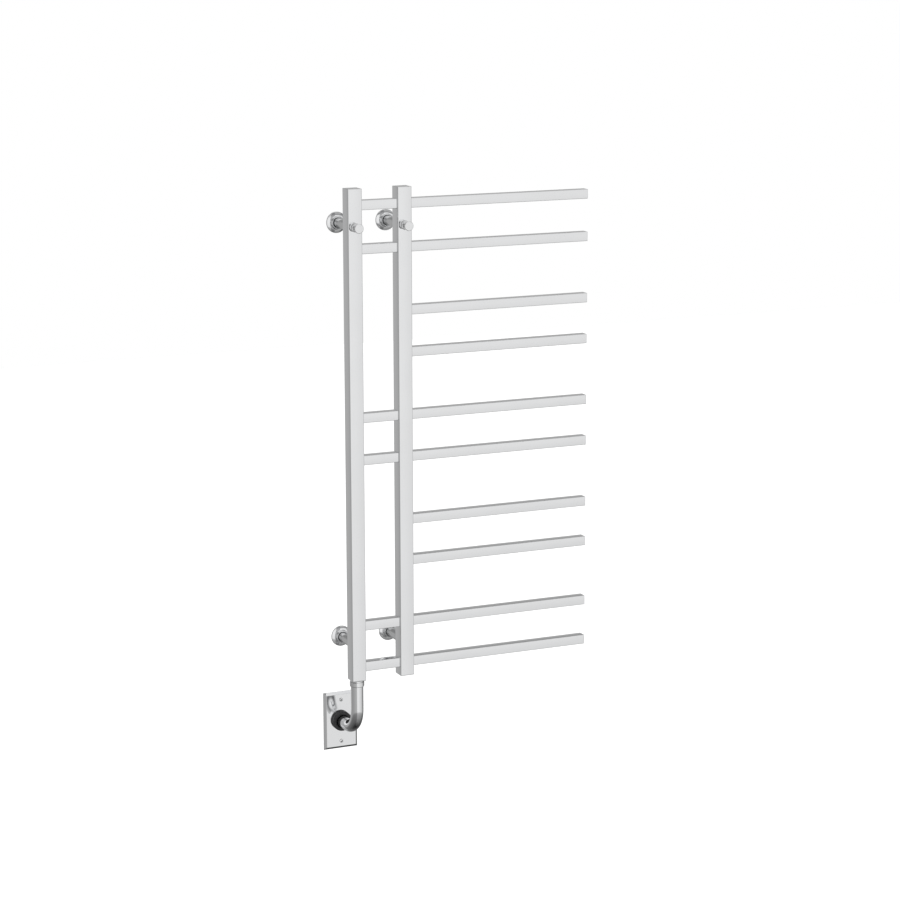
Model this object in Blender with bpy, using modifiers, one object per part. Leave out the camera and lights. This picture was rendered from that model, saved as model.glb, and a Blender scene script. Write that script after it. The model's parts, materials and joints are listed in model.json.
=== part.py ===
"""Wall-mounted electric towel warmer rack.

Two square posts, six short rungs between them and ten square rails that reach out to the right.
Four brackets with round covers hold the posts off the wall. Two clamp knobs go through the posts
into the upper brackets. A bent tube carries the wiring from the left post to a wall plate.

Frame: X to the right, Y into the wall, Z up, in metres. The wall is the plane y = 0, and the
origin is the middle of the upper left bracket's back face.
"""
import math

import bmesh
import bpy
from mathutils import Matrix, Vector

# Posts and rails
POST_SIDE = 0.028
POST_LENGTH = 0.937
POST_SPACING = 0.099
POST_TOP = 0.071
POST_Y = -0.082
RAIL_SIDE = 0.018
RAIL_END_X = 0.480
RAIL_1_TOP = 0.049
RAIL_GAPS = (0.0813, 0.1183, 0.0796, 0.1193, 0.0804, 0.1216, 0.0796, 0.1198, 0.0801)
RUNG_NUMBERS = (1, 2, 5, 6, 9, 10)
TUBE_WALL = 0.0015
TUBE_CORNER = 0.0016
JOINT_GAP = 0.0003
CABLE_HOLE_R = 0.0068
KNOB_HOLE_R = 0.0046
PLUG_DEPTH = 0.010

# Wall brackets, measured from the wall towards the room
MOUNT_DROP = 0.800
STEM_R = 0.009
STEM_END = 0.0677
STEM_FOOT = 0.001
BASE_R = 0.0165
BASE_THICK = 0.002
EDGE = 0.0005
WALL_SCREW_R = 0.0022
WALL_SCREW_OFFSET = 0.0134
SPIGOT_R = 0.0055
SPIGOT_LENGTH = 0.007
POST_HOLE_R = 0.0060
COVER_R = 0.020
COVER_SKIN = 0.001
COVER_RIM = 0.0026
COVER_SLOPE = 0.30
COLLAR_R = 0.0122
COLLAR_TOP = 0.0125
COLLAR_LAND = 0.0008
COLLAR_DISH = 0.003
GRUB_R = 0.0014
GRUB_HEIGHT = 0.007
GRUB_SOCKET_R = 0.0007
GRUB_SOCKET_DEPTH = 0.0012

# Clamp knobs, measured from the posts' front face towards the room
KNOB_SHANK_R = 0.0038
KNOB_BORE_R = 0.0042
KNOB_ENGAGEMENT = 0.0055
THREAD_BORE_DEPTH = 0.014
WASHER_R = 0.0084
WASHER_THICK = 0.0016
WASHER_EDGE = 0.0006
KNOB_BASE_R = 0.0078
KNOB_BASE_TOP = 0.0078
KNOB_NECK_R = 0.0043
KNOB_NECK_HEIGHT = 0.0108
KNOB_HEAD_R = 0.0088
KNOB_RIM_R = 0.0012
KNOB_FLARE_STEPS = 4
KNOB_RIM_HEIGHT = 0.0172
KNOB_HEIGHT = 0.0205

# Elbow, wall plate and grommet
ELBOW_R = 0.012
ELBOW_WALL = 0.0018
ELBOW_BEND = 0.044
ELBOW_LEG_Z = -0.9685
ELBOW_SWING = math.radians(2.5)
ELBOW_END_Y = 0.004
NIPPLE_LENGTH = 0.006
NIPPLE_R = 0.0118
BUSH_BORE_R = 0.0085
COLLAR_NUT_R = 0.0140
COLLAR_NUT_HEIGHT = 0.0122
COLLAR_NUT_SHOULDER_R = 0.0130
COLLAR_NUT_SHOULDER = 0.0030
PLATE_WIDTH = 0.06985
PLATE_HEIGHT = 0.1143
PLATE_DEPTH = 0.006
PLATE_BEVEL = 0.005
PLATE_SKIN = 0.0015
PLATE_RIM = 0.0055
PLATE_SCREW_SPACING = 0.0833
PLATE_HOLE_R = 0.0158
GROMMET_R = 0.0193
GROMMET_BORE_R = 0.0128
GROMMET_PROUD = 0.0095
GROMMET_ROUND = 0.0028
GROMMET_FLANGE = 0.0025
SCREW_HEAD_R = 0.0036
SCREW_HEAD_HEIGHT = 0.0016
SCREW_SHANK_R = 0.0017
SCREW_END = -0.012
SCREW_SLOT_WIDTH = 0.0010
SCREW_SLOT_DEPTH = 0.0009
SCREW_SLOT_ANGLE = math.radians(40)
SCREW_CLEARANCE = 0.0004

# Wiring
HEAT_CABLE_R = 0.002
HEAT_LANE = 0.0045
HEAT_RUN_X = 0.0075
HEAT_TURN_INSET = 0.012
CUTOUT_R = 0.0042
CUTOUT_LENGTH = 0.022
CUTOUT_HEIGHT = 0.033
SPLICE_R = 0.003
SPLICE_LENGTH = 0.022
SPLICE_DROP = 0.010
STUD_R = 0.002
STUD_HEIGHT = 0.018
LEAD_R = 0.0014
LEAD_OFFSET = 0.0042
LEAD_END_Y = 0.030

POST_FRONT_Y = POST_Y - POST_SIDE / 2
POST_BACK_Y = POST_Y + POST_SIDE / 2
POST_BOTTOM = POST_TOP - POST_LENGTH
PLATE_X = math.tan(ELBOW_SWING) * POST_Y
STEPS = 20
HOLE_SEGMENTS = 12
OVERRUN = 0.01
WALL_CUT_REACH = 0.0035


def rail_tops():
    """Heights of the rails' top faces, from the highest down."""
    tops = [RAIL_1_TOP]
    for gap in RAIL_GAPS:
        tops.append(tops[-1] - gap)
    return tops


def rail_centres():
    return [top - RAIL_SIDE / 2 for top in rail_tops()]


def clear_scene():
    for obj in list(bpy.data.objects):
        bpy.data.objects.remove(obj, do_unlink=True)


def new_collection(name):
    collection = bpy.data.collections.new(name)
    bpy.context.scene.collection.children.link(collection)
    return collection


def new_material(name, colour, metallic, roughness):
    material = bpy.data.materials.new(name)
    material.use_nodes = True
    shader = material.node_tree.nodes["Principled BSDF"]
    shader.inputs["Base Color"].default_value = (*colour, 1.0)
    shader.inputs["Metallic"].default_value = metallic
    shader.inputs["Roughness"].default_value = roughness
    return material


clear_scene()
RACK = new_collection("towel_warmer_rack")
CUTTERS = new_collection("cutters")

CHROME = ("chrome", (0.86, 0.86, 0.87), 1.0, 0.07)
STEEL = ("steel", (0.62, 0.62, 0.64), 1.0, 0.30)
RUBBER = ("rubber", (0.025, 0.025, 0.026), 0.0, 0.55)
SILICONE = ("silicone", (0.42, 0.10, 0.07), 0.0, 0.50)
LIVE = ("live_insulation", (0.02, 0.02, 0.02), 0.0, 0.45)
NEUTRAL = ("neutral_insulation", (0.80, 0.80, 0.78), 0.0, 0.45)
EARTH = ("earth_insulation", (0.05, 0.35, 0.10), 0.0, 0.45)


def finish(obj, finish_values):
    """Give an object its own material."""
    base, colour, metallic, roughness = finish_values
    obj.data.materials.append(new_material(f"{obj.name}_{base}", colour, metallic, roughness))
    return obj


def smooth_mesh(mesh, angle_deg=35.0):
    mesh.shade_smooth()
    mesh.set_sharp_from_angle(angle=math.radians(angle_deg))


def object_from_bmesh(name, bm, collection=None):
    mesh = bpy.data.meshes.new(name)
    bm.to_mesh(mesh)
    bm.free()
    obj = bpy.data.objects.new(name, mesh)
    (collection or RACK).objects.link(obj)
    return obj


def box_bmesh(low, high):
    """A box between two corners."""
    low, high = Vector(low), Vector(high)
    size = high - low
    bm = bmesh.new()
    matrix = Matrix.Translation((low + high) / 2) @ Matrix.Diagonal((*size, 1.0))
    bmesh.ops.create_cube(bm, size=1.0, matrix=matrix)
    return bm


def cutter(name, bm):
    obj = object_from_bmesh(name, bm, CUTTERS)
    obj.hide_render = True
    obj.display_type = "WIRE"
    return obj


def add_cylinder(bm, start, end, radius, segments=HOLE_SEGMENTS):
    """Add a capped cylinder between two points to a bmesh."""
    start, end = Vector(start), Vector(end)
    axis = end - start
    turn = Vector((0, 0, 1)).rotation_difference(axis).to_matrix().to_4x4()
    matrix = Matrix.Translation((start + end) / 2) @ turn
    bmesh.ops.create_cone(bm, cap_ends=True, segments=segments, radius1=radius, radius2=radius,
                          depth=axis.length, matrix=matrix)


def cut(obj, tool, name="cut"):
    modifier = obj.modifiers.new(name, "BOOLEAN")
    modifier.operation = "DIFFERENCE"
    modifier.solver = "EXACT"
    modifier.object = tool
    return modifier


def square_tube(name, low, high, axis, open_start=True, open_end=True):
    """A square tube between two corners, its long edges rounded, its bore along one axis."""
    bm = box_bmesh(low, high)
    long_edges = []
    for edge in bm.edges:
        run = edge.verts[1].co - edge.verts[0].co
        if abs(run[axis]) > 0.9 * run.length:
            long_edges.append(edge)
    bmesh.ops.bevel(bm, geom=long_edges, offset=TUBE_CORNER, segments=2, profile=0.5,
                    affect="EDGES")
    tube = object_from_bmesh(name, bm)
    smooth_mesh(tube.data, 60.0)
    bore_low = [value + TUBE_WALL for value in low]
    bore_high = [value - TUBE_WALL for value in high]
    if open_start:
        bore_low[axis] = low[axis] - OVERRUN
    if open_end:
        bore_high[axis] = high[axis] + OVERRUN
    cut(tube, cutter(f"{name}_bore", box_bmesh(bore_low, bore_high)), "bore")
    return finish(tube, CHROME)


def turned(name, profile, location, steps=STEPS, toward_room=True):
    """A profile of (radius, height) points turned about its own axis.

    The profile runs down its outer side. The heights point to the room, or up.
    """
    mesh = bpy.data.meshes.new(name)
    verts = [(radius, 0.0, height) for radius, height in profile]
    edges = [(i, i + 1) for i in range(len(verts) - 1)]
    if profile[0][0] > 0.0:
        edges.append((len(verts) - 1, 0))
    mesh.from_pydata(verts, edges, [])
    obj = bpy.data.objects.new(name, mesh)
    RACK.objects.link(obj)
    obj.location = location
    if toward_room:
        obj.rotation_euler = (math.radians(90), 0, 0)
    screw = obj.modifiers.new("turn", "SCREW")
    screw.axis = "Z"
    screw.steps = steps
    screw.render_steps = steps
    screw.use_merge_vertices = True
    screw.merge_threshold = 0.00001
    screw.use_smooth_shade = True
    return obj


def arc(centre, radius, start_deg, end_deg, count):
    """Points of a round stretch in a profile, both ends included."""
    points = []
    for i in range(count + 1):
        angle = math.radians(start_deg + (end_deg - start_deg) * i / count)
        points.append((centre[0] + radius * math.cos(angle), centre[1] + radius * math.sin(angle)))
    return points


def rounded_route(corners, radius, steps=2):
    """Replace each inner corner of a route with a short arc."""
    corners = [Vector(corner) for corner in corners]
    points = [corners[0]]
    for before, corner, after in zip(corners, corners[1:], corners[2:]):
        into = (before - corner).normalized()
        out = (after - corner).normalized()
        half_angle = into.angle(out) / 2
        reach = radius / math.tan(half_angle)
        centre = corner + (into + out).normalized() * (radius / math.sin(half_angle))
        first = (corner + into * reach - centre).normalized()
        last = (corner + out * reach - centre).normalized()
        for i in range(steps + 1):
            points.append(centre + first.slerp(last, i / steps) * radius)
    points.append(corners[-1])
    return points


def wire(name, points, radius, finish_values, resolution=2, caps=True):
    """A round wire or rod along a list of points."""
    curve = bpy.data.curves.new(name, "CURVE")
    curve.dimensions = "3D"
    curve.bevel_depth = radius
    curve.bevel_resolution = resolution
    curve.use_fill_caps = caps
    spline = curve.splines.new("POLY")
    spline.points.add(len(points) - 1)
    for target, point in zip(spline.points, points):
        target.co = (*point, 1.0)
    spline.use_smooth = True
    obj = bpy.data.objects.new(name, curve)
    RACK.objects.link(obj)
    return finish(obj, finish_values)


# Frame of posts, rungs and rails

def make_post(name, x, rung_side, rail_side):
    """A post with cable holes towards its rungs and rails, and holes on the bracket axes.

    A side is 1 towards +X, -1 towards -X, and 0 for none.
    """
    half = POST_SIDE / 2
    post = square_tube(name, (x - half, POST_Y - half, POST_BOTTOM),
                       (x + half, POST_Y + half, POST_TOP), axis=2)
    holes = bmesh.new()
    along_x = Vector((WALL_CUT_REACH, 0, 0))
    along_y = Vector((0, WALL_CUT_REACH, 0))
    for number, z in enumerate(rail_centres(), start=1):
        cable_sides = []
        if number in RUNG_NUMBERS:
            cable_sides.append(rung_side)
        if rail_side:
            cable_sides.append(rail_side)
        for side in cable_sides:
            hole = Vector((x + side * half, POST_Y, z))
            add_cylinder(holes, hole - along_x, hole + along_x, CABLE_HOLE_R)
    for z in (0.0, -MOUNT_DROP):
        back_hole = Vector((x, POST_BACK_Y, z))
        add_cylinder(holes, back_hole - along_y, back_hole + along_y, POST_HOLE_R)
    front_hole = Vector((x, POST_FRONT_Y, 0))
    add_cylinder(holes, front_hole - along_y, front_hole + along_y, KNOB_HOLE_R)
    cut(post, cutter(f"{name}_holes", holes), "holes")
    return post


def make_frame():
    half = POST_SIDE / 2
    rail_half = RAIL_SIDE / 2
    make_post("left_post", 0.0, rung_side=1, rail_side=0)
    make_post("right_post", POST_SPACING, rung_side=-1, rail_side=1)
    rung_start = half + JOINT_GAP
    rung_end = POST_SPACING - half - JOINT_GAP
    rail_start = POST_SPACING + half + JOINT_GAP
    for number, z in enumerate(rail_centres(), start=1):
        low_y, high_y = POST_Y - rail_half, POST_Y + rail_half
        low_z, high_z = z - rail_half, z + rail_half
        if number in RUNG_NUMBERS:
            square_tube(f"rung_{number:02d}", (rung_start, low_y, low_z),
                        (rung_end, high_y, high_z), axis=0)
        square_tube(f"rail_{number:02d}", (rail_start, low_y, low_z),
                    (RAIL_END_X, high_y, high_z), axis=0, open_end=False)


def make_plug(name, x, z_low):
    """A press-in plug, flush with the end of its post."""
    half = POST_SIDE / 2 - TUBE_WALL - JOINT_GAP
    low = (x - half, POST_Y - half, z_low)
    high = (x + half, POST_Y + half, z_low + PLUG_DEPTH)
    return finish(object_from_bmesh(name, box_bmesh(low, high)), CHROME)


def make_bush():
    """Bottom bush of the left post: a square plug with a round nipple and a through bore."""
    half = POST_SIDE / 2 - TUBE_WALL - JOINT_GAP
    plug_top = POST_BOTTOM + PLUG_DEPTH
    plug = box_bmesh((-half, POST_Y - half, POST_BOTTOM), (half, POST_Y + half, plug_top))
    bush = object_from_bmesh("left_post_bush", plug)
    nipple = bmesh.new()
    add_cylinder(nipple, (0, POST_Y, POST_BOTTOM + PLUG_DEPTH / 2),
                 (0, POST_Y, POST_BOTTOM - NIPPLE_LENGTH), NIPPLE_R, STEPS)
    union = cut(bush, cutter("bush_nipple", nipple), "nipple")
    union.operation = "UNION"
    bore = bmesh.new()
    add_cylinder(bore, (0, POST_Y, plug_top + OVERRUN),
                 (0, POST_Y, POST_BOTTOM - NIPPLE_LENGTH - OVERRUN), BUSH_BORE_R, STEPS)
    cut(bush, cutter("bush_bore", bore), "bore")
    smooth_mesh(bush.data)
    return finish(bush, STEEL)


# Wall brackets

def make_bracket(name, x, z, threaded):
    """Base disc and stem in one piece; the upper ones are bored for the knob's shank."""
    outer = [(STEM_R, STEM_END), (STEM_R, BASE_THICK + STEM_FOOT), (STEM_R + STEM_FOOT, BASE_THICK),
             (BASE_R - EDGE, BASE_THICK), (BASE_R, BASE_THICK - EDGE), (BASE_R, 0.0), (0.0, 0.0)]
    if threaded:
        bottom = STEM_END - THREAD_BORE_DEPTH
        head = [(0.0, bottom), (KNOB_BORE_R, bottom), (KNOB_BORE_R, STEM_END)]
    else:
        tip = STEM_END + SPIGOT_LENGTH
        head = [(0.0, tip), (SPIGOT_R - EDGE, tip), (SPIGOT_R, tip - EDGE), (SPIGOT_R, STEM_END)]
    bracket = turned(name, head + outer, (x, 0, z))
    holes = bmesh.new()
    for side in (-1, 1):
        hole_x = x + side * WALL_SCREW_OFFSET
        add_cylinder(holes, (hole_x, OVERRUN, z), (hole_x, -OVERRUN, z), WALL_SCREW_R, 8)
    cut(bracket, cutter(f"{name}_screw_holes", holes), "screw_holes")
    return finish(bracket, STEEL)


def make_cover(name, x, z):
    """Round cover: a shallow cone that hides the base, with a dished collar round the stem."""
    bore = STEM_R + JOINT_GAP
    crest = COVER_RIM + (COVER_R - COLLAR_R) * COVER_SLOPE
    collar = [(bore, COLLAR_TOP - COLLAR_DISH), (COLLAR_R - COLLAR_LAND, COLLAR_TOP),
              (COLLAR_R - EDGE, COLLAR_TOP), (COLLAR_R, COLLAR_TOP - EDGE), (COLLAR_R, crest)]
    rim = [(COVER_R - EDGE, COVER_RIM + EDGE * COVER_SLOPE), (COVER_R, COVER_RIM - EDGE),
           (COVER_R, JOINT_GAP), (COVER_R - COVER_SKIN, JOINT_GAP)]
    inner = [(COVER_R - COVER_SKIN, COVER_RIM - COVER_SKIN), (COLLAR_R, crest - COVER_SKIN),
             (bore, crest - COVER_SKIN)]
    cover = turned(name, collar + rim + inner, (x, 0, z))
    hole = bmesh.new()
    add_cylinder(hole, (x, -GRUB_HEIGHT, z - STEM_R), (x, -GRUB_HEIGHT, z - COLLAR_R - OVERRUN / 4),
                 GRUB_R + JOINT_GAP)
    cut(cover, cutter(f"{name}_grub_hole", hole), "grub_hole")
    return finish(cover, CHROME)


def make_grub_screw(name, x, z):
    """Grub screw in the underside of a cover's collar, with a hexagon socket."""
    low = z - COLLAR_R + JOINT_GAP
    bm = bmesh.new()
    add_cylinder(bm, (x, -GRUB_HEIGHT, low), (x, -GRUB_HEIGHT, z - STEM_R - JOINT_GAP), GRUB_R)
    bmesh.ops.recalc_face_normals(bm, faces=bm.faces)
    screw = object_from_bmesh(name, bm)
    socket = bmesh.new()
    add_cylinder(socket, (x, -GRUB_HEIGHT, low - OVERRUN / 4),
                 (x, -GRUB_HEIGHT, low + GRUB_SOCKET_DEPTH), GRUB_SOCKET_R, 6)
    cut(screw, cutter(f"{name}_socket", socket), "socket")
    smooth_mesh(screw.data)
    return finish(screw, STEEL)


def make_mounts():
    places = {"top_left": (0.0, 0.0), "top_right": (POST_SPACING, 0.0),
              "bottom_left": (0.0, -MOUNT_DROP), "bottom_right": (POST_SPACING, -MOUNT_DROP)}
    for place, (x, z) in places.items():
        make_bracket(f"{place}_bracket", x, z, threaded=place.startswith("top"))
        make_cover(f"{place}_cover", x, z)
        make_grub_screw(f"{place}_grub_screw", x, z)


# Clamp knobs

def make_knob(place, x):
    """A knob and its loose washer, both turned about the bracket's axis."""
    start = JOINT_GAP
    top = start + WASHER_THICK
    washer_profile = [(KNOB_BORE_R, top), (WASHER_R - WASHER_EDGE, top)]
    washer_profile += arc((WASHER_R - WASHER_EDGE, top - WASHER_EDGE), WASHER_EDGE, 60, 0, 2)
    washer_profile += [(WASHER_R, start), (KNOB_BORE_R, start)]
    washer = turned(f"{place}_washer", washer_profile, (x, POST_FRONT_Y, 0))
    finish(washer, CHROME)
    base = top + JOINT_GAP
    shank_end = -(POST_SIDE + JOINT_GAP + KNOB_ENGAGEMENT)
    head_r = KNOB_HEAD_R - KNOB_RIM_R
    head = [(0.0, KNOB_HEIGHT)] + arc((head_r, KNOB_HEIGHT - KNOB_RIM_R), KNOB_RIM_R, 90, 0, 3)
    head += [(KNOB_HEAD_R, KNOB_RIM_HEIGHT), (KNOB_HEAD_R - EDGE, KNOB_RIM_HEIGHT - EDGE)]
    flare = []
    flare_top = KNOB_RIM_HEIGHT - 2 * EDGE
    for i in range(KNOB_FLARE_STEPS + 1):
        share = i / KNOB_FLARE_STEPS
        flare.append((KNOB_NECK_R + (head_r - KNOB_NECK_R) * (1 - share) ** 2,
                      flare_top + (KNOB_NECK_HEIGHT - flare_top) * share))
    foot = [(KNOB_NECK_R + EDGE, KNOB_BASE_TOP + EDGE), (KNOB_BASE_R - WASHER_EDGE, KNOB_BASE_TOP),
            (KNOB_BASE_R, KNOB_BASE_TOP - WASHER_EDGE)]
    shank = [(KNOB_BASE_R, base), (KNOB_SHANK_R, base), (KNOB_SHANK_R, shank_end + EDGE),
             (KNOB_SHANK_R - EDGE, shank_end), (0.0, shank_end)]
    knob = turned(f"{place}_knob", head + flare + foot + shank, (x, POST_FRONT_Y, 0))
    return finish(knob, CHROME)


# Elbow, wall plate and grommet

def elbow_route(side=0.0, inset=0.0, top=POST_BOTTOM, end_y=ELBOW_END_Y, steps=9):
    """Points along the elbow: straight down, round the bend and back into the wall.

    side shifts the route across the bend's plane, and inset shifts it towards the inside.
    """
    back = Vector((math.sin(-ELBOW_SWING), math.cos(ELBOW_SWING), 0))
    across = Vector((math.cos(ELBOW_SWING), math.sin(ELBOW_SWING), 0))
    start = Vector((0, POST_Y, 0)) + across * side + back * inset
    leg_z = ELBOW_LEG_Z + inset
    bend = ELBOW_BEND - inset
    points = [start + Vector((0, 0, top)), start + Vector((0, 0, leg_z + bend))]
    for i in range(1, steps + 1):
        angle = math.pi / 2 * i / steps
        points.append(start + back * bend * (1 - math.cos(angle))
                      + Vector((0, 0, leg_z + bend * (1 - math.sin(angle)))))
    run = (end_y - points[-1].y) / back.y
    points.append(points[-1] + back * run)
    return points


def make_elbow():
    points = elbow_route(top=POST_BOTTOM - NIPPLE_LENGTH - JOINT_GAP)
    elbow = wire("elbow_tube", points, ELBOW_R, CHROME, resolution=8, caps=False)
    shell = elbow.modifiers.new("wall", "SOLIDIFY")
    shell.thickness = ELBOW_WALL
    shell.offset = -1.0
    return elbow


def make_collar_nut():
    top = POST_BOTTOM - JOINT_GAP
    bottom = top - COLLAR_NUT_HEIGHT
    bore = ELBOW_R + JOINT_GAP
    shoulder = top - COLLAR_NUT_SHOULDER
    profile = [(bore, top), (COLLAR_NUT_SHOULDER_R, top), (COLLAR_NUT_SHOULDER_R, shoulder),
               (COLLAR_NUT_R - EDGE, shoulder), (COLLAR_NUT_R, shoulder - EDGE),
               (COLLAR_NUT_R, bottom + EDGE), (COLLAR_NUT_R - EDGE, bottom), (bore, bottom)]
    nut = turned("collar_nut", profile, (0, POST_Y, 0), toward_room=False)
    return finish(nut, CHROME)


def make_plate():
    """Wall plate: bevelled front edges, hollow back, a round hole and two screw holes."""
    half_w, half_h = PLATE_WIDTH / 2, PLATE_HEIGHT / 2
    bm = box_bmesh((PLATE_X - half_w, -PLATE_DEPTH, ELBOW_LEG_Z - half_h),
                   (PLATE_X + half_w, 0, ELBOW_LEG_Z + half_h))
    front_edges = []
    for edge in bm.edges:
        if all(vert.co.y < -PLATE_DEPTH / 2 for vert in edge.verts):
            front_edges.append(edge)
    bmesh.ops.bevel(bm, geom=front_edges, offset=PLATE_BEVEL, segments=1, affect="EDGES")
    plate = object_from_bmesh("wall_plate", bm)
    pocket = box_bmesh((PLATE_X - half_w + PLATE_RIM, PLATE_SKIN - PLATE_DEPTH,
                        ELBOW_LEG_Z - half_h + PLATE_RIM),
                       (PLATE_X + half_w - PLATE_RIM, OVERRUN, ELBOW_LEG_Z + half_h - PLATE_RIM))
    cut(plate, cutter("plate_pocket", pocket), "pocket")
    holes = bmesh.new()
    through = Vector((0, PLATE_DEPTH + OVERRUN, 0))
    middle = Vector((PLATE_X, 0, ELBOW_LEG_Z))
    add_cylinder(holes, middle - through, middle + through, PLATE_HOLE_R, STEPS)
    for side in (-1, 1):
        screw = middle + Vector((0, 0, side * PLATE_SCREW_SPACING / 2))
        add_cylinder(holes, screw - through, screw + through, SCREW_SHANK_R + SCREW_CLEARANCE)
    cut(plate, cutter("plate_holes", holes), "holes")
    return finish(plate, CHROME)


def make_plate_screw(name, z):
    """Slotted oval-head screw of the wall plate."""
    seat = PLATE_DEPTH + JOINT_GAP
    top = seat + SCREW_HEAD_HEIGHT
    profile = [(0.0, top), (SCREW_HEAD_R * 0.45, top - 0.0002), (SCREW_HEAD_R * 0.78, top - 0.0008),
               (SCREW_HEAD_R, seat), (SCREW_SHANK_R, seat), (SCREW_SHANK_R, SCREW_END + EDGE),
               (SCREW_SHANK_R - EDGE, SCREW_END), (0.0, SCREW_END)]
    screw = turned(name, profile, (PLATE_X, 0, z), steps=16)
    half_slot = SCREW_SLOT_WIDTH / 2
    slot = box_bmesh((-2 * SCREW_HEAD_R, -half_slot, top - SCREW_SLOT_DEPTH),
                     (2 * SCREW_HEAD_R, half_slot, top + OVERRUN))
    tool = cutter(f"{name}_slot", slot)
    tool.location = (PLATE_X, 0, z)
    tool.rotation_euler = (math.radians(90), -SCREW_SLOT_ANGLE, 0)
    cut(screw, tool, "slot")
    return finish(screw, CHROME)


def make_grommet():
    """Rubber grommet, its groove round the edge of the plate's hole."""
    face = PLATE_DEPTH + JOINT_GAP
    front = PLATE_DEPTH + GROMMET_PROUD
    groove = PLATE_HOLE_R - JOINT_GAP
    back = PLATE_DEPTH - PLATE_SKIN - JOINT_GAP
    lip = GROMMET_BORE_R + GROMMET_ROUND
    profile = arc((lip, front - GROMMET_ROUND), GROMMET_ROUND, 180, 90, 2)
    profile += arc((GROMMET_R - GROMMET_ROUND, front - GROMMET_ROUND), GROMMET_ROUND, 90, 0, 3)
    profile += [(GROMMET_R, face), (groove, face), (groove, back), (PLATE_HOLE_R + 0.002, back),
                (PLATE_HOLE_R + 0.001, back - GROMMET_FLANGE), (GROMMET_BORE_R, back - GROMMET_FLANGE)]
    grommet = turned("grommet", profile, (PLATE_X, 0, ELBOW_LEG_Z))
    return finish(grommet, RUBBER)


# Wiring

def heating_cable_corners(start_z, end_z):
    """Corners of the heating cable's route through the posts, rungs and rails."""
    centres = rail_centres()
    run_x = POST_SPACING + HEAT_RUN_X
    turn_x = RAIL_END_X - HEAT_TURN_INSET
    corners = [(-HEAT_RUN_X, start_z), (-HEAT_RUN_X, centres[0] + HEAT_LANE)]
    for i, z in enumerate(centres):
        if i > 0:
            corners.append((run_x, z + HEAT_LANE))
        corners += [(turn_x, z + HEAT_LANE), (turn_x, z - HEAT_LANE)]
        if i < len(centres) - 1:
            corners.append((run_x, z - HEAT_LANE))
    corners += [(LEAD_OFFSET, centres[-1] - HEAT_LANE), (LEAD_OFFSET, end_z)]
    return [(x, POST_Y, z) for x, z in corners]


def make_rod(name, start, end, radius, finish_values):
    """A plain round rod between two points."""
    bm = bmesh.new()
    add_cylinder(bm, start, end, radius)
    return finish(object_from_bmesh(name, bm), finish_values)


def make_wiring():
    """Heating cable, its cut-out and splice, and the three leads that go into the wall."""
    cutout_low = POST_BOTTOM + CUTOUT_HEIGHT
    cutout_high = cutout_low + CUTOUT_LENGTH
    splice_high = POST_BOTTOM - SPLICE_DROP
    splice_low = splice_high - SPLICE_LENGTH
    corners = heating_cable_corners(cutout_high + JOINT_GAP, splice_high + JOINT_GAP)
    wire("heating_cable", rounded_route(corners, HEAT_LANE - JOINT_GAP), HEAT_CABLE_R, SILICONE)
    make_rod("thermal_cutout", (-HEAT_RUN_X, POST_Y, cutout_low), (-HEAT_RUN_X, POST_Y, cutout_high),
             CUTOUT_R, STEEL)
    make_rod("neutral_splice", (LEAD_OFFSET, POST_Y, splice_low), (LEAD_OFFSET, POST_Y, splice_high),
             SPLICE_R, NEUTRAL)
    live_start = [(-HEAT_RUN_X, POST_Y, cutout_low - JOINT_GAP),
                  (-HEAT_RUN_X, POST_Y, cutout_low - CUTOUT_R),
                  (-LEAD_OFFSET, POST_Y, POST_BOTTOM + PLUG_DEPTH + CUTOUT_R)]
    live = elbow_route(side=-LEAD_OFFSET, top=POST_BOTTOM, end_y=LEAD_END_Y, steps=8)
    wire("live_lead", live_start + live, LEAD_R, LIVE)
    neutral = elbow_route(side=LEAD_OFFSET, top=splice_low - JOINT_GAP, end_y=LEAD_END_Y, steps=8)
    wire("neutral_lead", neutral, LEAD_R, NEUTRAL)
    stud_z = POST_BOTTOM + STUD_HEIGHT
    earth = elbow_route(inset=LEAD_OFFSET, top=stud_z + STUD_R, end_y=LEAD_END_Y, steps=8)
    wire("earth_lead", earth, LEAD_R, EARTH)
    stud_start = POST_BACK_Y - TUBE_WALL - JOINT_GAP
    stud_end = POST_Y + LEAD_OFFSET + LEAD_R + JOINT_GAP
    make_rod("earth_stud", (0, stud_start, stud_z), (0, stud_end, stud_z), STUD_R, STEEL)


make_frame()
make_plug("left_post_top_plug", 0.0, POST_TOP - PLUG_DEPTH)
make_plug("right_post_top_plug", POST_SPACING, POST_TOP - PLUG_DEPTH)
make_plug("right_post_bottom_plug", POST_SPACING, POST_BOTTOM)
make_bush()
make_mounts()
make_knob("top_left", 0.0)
make_knob("top_right", POST_SPACING)
make_elbow()
make_collar_nut()
make_plate()
make_plate_screw("upper_plate_screw", ELBOW_LEG_Z + PLATE_SCREW_SPACING / 2)
make_plate_screw("lower_plate_screw", ELBOW_LEG_Z - PLATE_SCREW_SPACING / 2)
make_grommet()
make_wiring()
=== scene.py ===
import json
import math

import bmesh
import bpy
from mathutils import Matrix, Vector

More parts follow.
